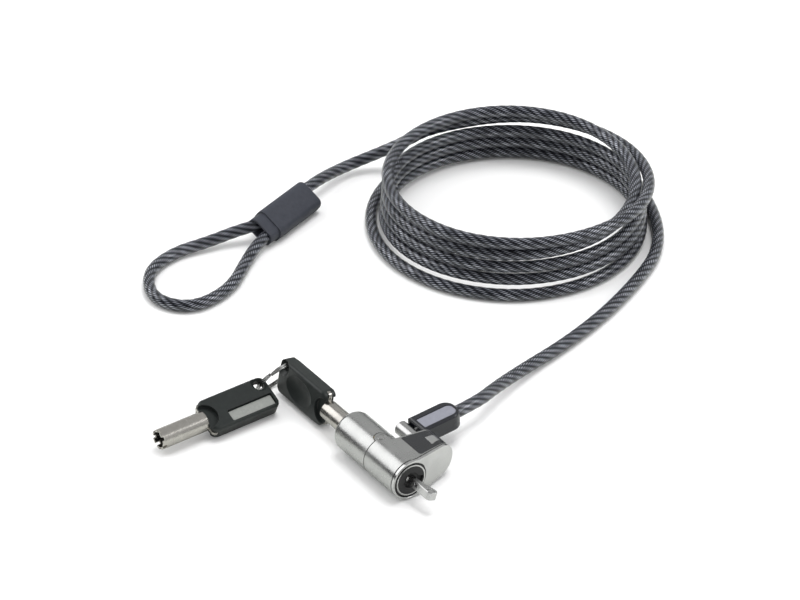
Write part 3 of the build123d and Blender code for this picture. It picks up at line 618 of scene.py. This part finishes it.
# the painted highlight's strength varies in random patches
patchy_painted_glint = math_node(nodes, "MULTIPLY")
patchy_glint_strength = nodes.new("ShaderNodeMapRange")
set_inputs(patchy_glint_strength, From_Min=0.3, From_Max=0.7, To_Min=0.55, To_Max=1.1)
links.new(patchy.outputs["Fac"], patchy_glint_strength.inputs["Value"])
links.new(glint.outputs[0], patchy_painted_glint.inputs[0])
links.new(patchy_glint_strength.outputs["Result"], patchy_painted_glint.inputs[1])
# colour runs from painted shade (near black) in the strand gaps to a painted highlight on the crests
painted_shade_and_glint_ramp = nodes.new("ShaderNodeValToRGB")
painted_shade_and_glint_ramp.color_ramp.elements[0].position, painted_shade_and_glint_ramp.color_ramp.elements[0].color = 0.08, (0.006, 0.007, 0.010, 1)
painted_shade_and_glint_ramp.color_ramp.elements[1].position, painted_shade_and_glint_ramp.color_ramp.elements[1].color = 0.95, (0.60, 0.62, 0.70, 1)
painted_shade_and_glint_ramp.color_ramp.elements.new(0.45).color = (0.095, 0.102, 0.128, 1)
links.new(patchy_painted_glint.outputs[0], painted_shade_and_glint_ramp.inputs["Fac"])
links.new(painted_shade_and_glint_ramp.outputs["Color"], shader.inputs["Base Color"])
relief = nodes.new("ShaderNodeBump")
set_inputs(relief, Strength=0.35, Distance=0.00006)
links.new(glint.outputs[0], relief.inputs["Height"])
links.new(relief.outputs["Normal"], shader.inputs["Normal"])
dull = nodes.new("ShaderNodeMapRange")
set_inputs(dull, From_Min=0.0, From_Max=1.0, To_Min=0.5, To_Max=0.3)
links.new(patchy.outputs["Fac"], dull.inputs["Value"])
links.new(dull.outputs["Result"], shader.inputs["Roughness"])
set_inputs(shader, Metallic=0.55, Coat_Weight=0.8, Coat_Roughness=0.08, Coat_IOR=1.5)
cable.data.materials.append(rope)
give(rope, "cable_lock_lead", "cable_coil", "cable_eye_lead", "cable_eye")

# %% [markdown]
# ## The split ring
# A split ring is one spring wire wound two turns side by side, stepping over from one turn to the
# other through a short kink, with both ends cut square. A swept circle would give a closed ring,
# so the wire is a tube along two turns of a circle whose height steps over within 50 degrees.

# %% Split ring
ring_center, ring_radius, wire_radius = Vector((-0.004013, 0.074623, -0.000392)), 0.007352, 0.00037
ring_axis = Vector((-0.135, 0.834, 0.536)).normalized()
ring_side = Vector((-ring_axis.y, ring_axis.x, 0)).normalized()
ring_up = ring_axis.cross(ring_side)
ring_step = 2.5             # degrees between the rings of vertices
wire_end = 0.9              # radians round the ring to the wire's two ends
step_over_start, step_over_length = 335, 50     # degrees
turn_clearance = 1.01       # the two turns all but touch
ring_line = []
for step in range(round(720 / ring_step) + 1):
    angle = radians(step * ring_step) + wire_end
    over = min(max((step * ring_step - step_over_start) / step_over_length, 0), 1)
    lift = wire_radius * turn_clearance * (2 * over * over * (3 - 2 * over) - 1)
    ring_line.append(ring_center + (ring_side * cos(angle) + ring_up * sin(angle)) * ring_radius + ring_axis * lift)


def wire_tube(name, line, radius, sides):
    """Smooth closed tube along a line, with flat ends."""
    mesh = bmesh.new()
    side = (line[1] - line[0]).orthogonal().normalized()
    rings = []
    for index, center in enumerate(line):
        ahead = (line[min(index + 1, len(line) - 1)] - line[max(index - 1, 0)]).normalized()
        side = (side - ahead * side.dot(ahead)).normalized()
        up = ahead.cross(side)
        rings.append([mesh.verts.new(center + (side * cos(2 * pi * k / sides) + up * sin(2 * pi * k / sides)) * radius)
                      for k in range(sides)])
    for ring, following in zip(rings, rings[1:]):
        for k in range(sides):
            turn = (k + 1) % sides
            mesh.faces.new((ring[k], ring[turn], following[turn], following[k])).smooth = True
    mesh.faces.new(reversed(rings[0]))
    mesh.faces.new(rings[-1])
    data = bpy.data.meshes.new(name)
    mesh.to_mesh(data)
    mesh.free()
    piece = bpy.data.objects.new(name, data)
    bpy.context.scene.collection.objects.link(piece)
    return piece


ring_steel = hard_finish("sprung_ring_steel", (0.42, 0.42, 0.42), (0.58, 0.58, 0.57), 0.2, metal=1, grain=8000,
                         swell=600, bump=0.1, smudges=0.3, scuffs=0.4)
spiral = wire_tube("split_ring_wire", ring_line, wire_radius, 14)
spiral.data.materials.append(ring_steel)
give(ring_steel, "split_ring")
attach(spiral, "ring")
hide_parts("split_ring")
print("split ring faces:", len(spiral.data.polygons))

# %% [markdown]
# ## The boot's panel
# A pale insert with one round end lies in the recess on top of the boot. Its pale grey-blue is a
# painted reflection: it stands for the softbox mirrored in the boot's glossy top. It is a thin
# plate: a cube brought to its length, width and thickness, with the two upright edges at its far
# end bevelled to a half round, and all its rims softened. The boot tips up by four degrees about
# the swivel, and the panel with it.

# %% Boot panel
panel_length, panel_width, panel_thick = 0.0134, 0.0050, 0.00034
end_flat, rim_inset, rim_round = 0.0001, 0.00025, 0.00008
panel_floor, panel_gap = 0.0032 - 0.0005, 0.00002
swivel_place = (0.014, 0.0202, 0)   # where the panel's length is measured from
bpy.ops.object.select_all(action="DESELECT")
bpy.ops.mesh.primitive_cube_add(size=1)
panel = bpy.context.object
panel.name = "boot_panel"
panel.scale = (panel_length, panel_width, panel_thick)
bpy.ops.object.transform_apply(scale=True)
bpy.ops.object.mode_set(mode="EDIT")
bpy.ops.mesh.select_all(action="DESELECT")
cage = bmesh.from_edit_mesh(panel.data)
for upright in cage.edges:
    ends = [v.co for v in upright.verts]
    upright.select = all(co.x > 0 for co in ends) and abs(ends[0].z - ends[1].z) > panel_thick / 2
bmesh.update_edit_mesh(panel.data)
bpy.ops.mesh.bevel(offset=panel_width / 2 - end_flat, segments=12)
bpy.ops.mesh.select_all(action="DESELECT")
cage = bmesh.from_edit_mesh(panel.data)
for face in cage.faces:
    face.select = face.normal.z > 0.9
bmesh.update_edit_mesh(panel.data)
bpy.ops.mesh.inset(thickness=rim_inset, depth=0)
bpy.ops.mesh.bevel(offset=rim_round, segments=2)
bpy.ops.object.mode_set(mode="OBJECT")
panel_middle, panel_height = 0.0109, panel_floor + panel_thick / 2 + panel_gap
panel.matrix_world = (Matrix.Translation(swivel_place) @ Matrix.Rotation(-boot_tilt, 4, "Y")
                      @ Matrix.Translation((panel_middle, 0, panel_height)))
bpy.ops.object.transform_apply(location=True, rotation=True, scale=True)
# the panel's pale colour is a painted reflection of the softbox on the glossy boot
panel.data.materials.append(hard_finish(
    "panel_painted_reflection", (0.20, 0.205, 0.245), (0.27, 0.275, 0.32), 0.3, grain=7000, swell=800, bump=0.18,
    edge_light=0.03, coat=0.3, smudges=0.2, scuffs=0.1))
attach(panel, "cable")
print("boot panel faces:", len(panel.data.polygons))
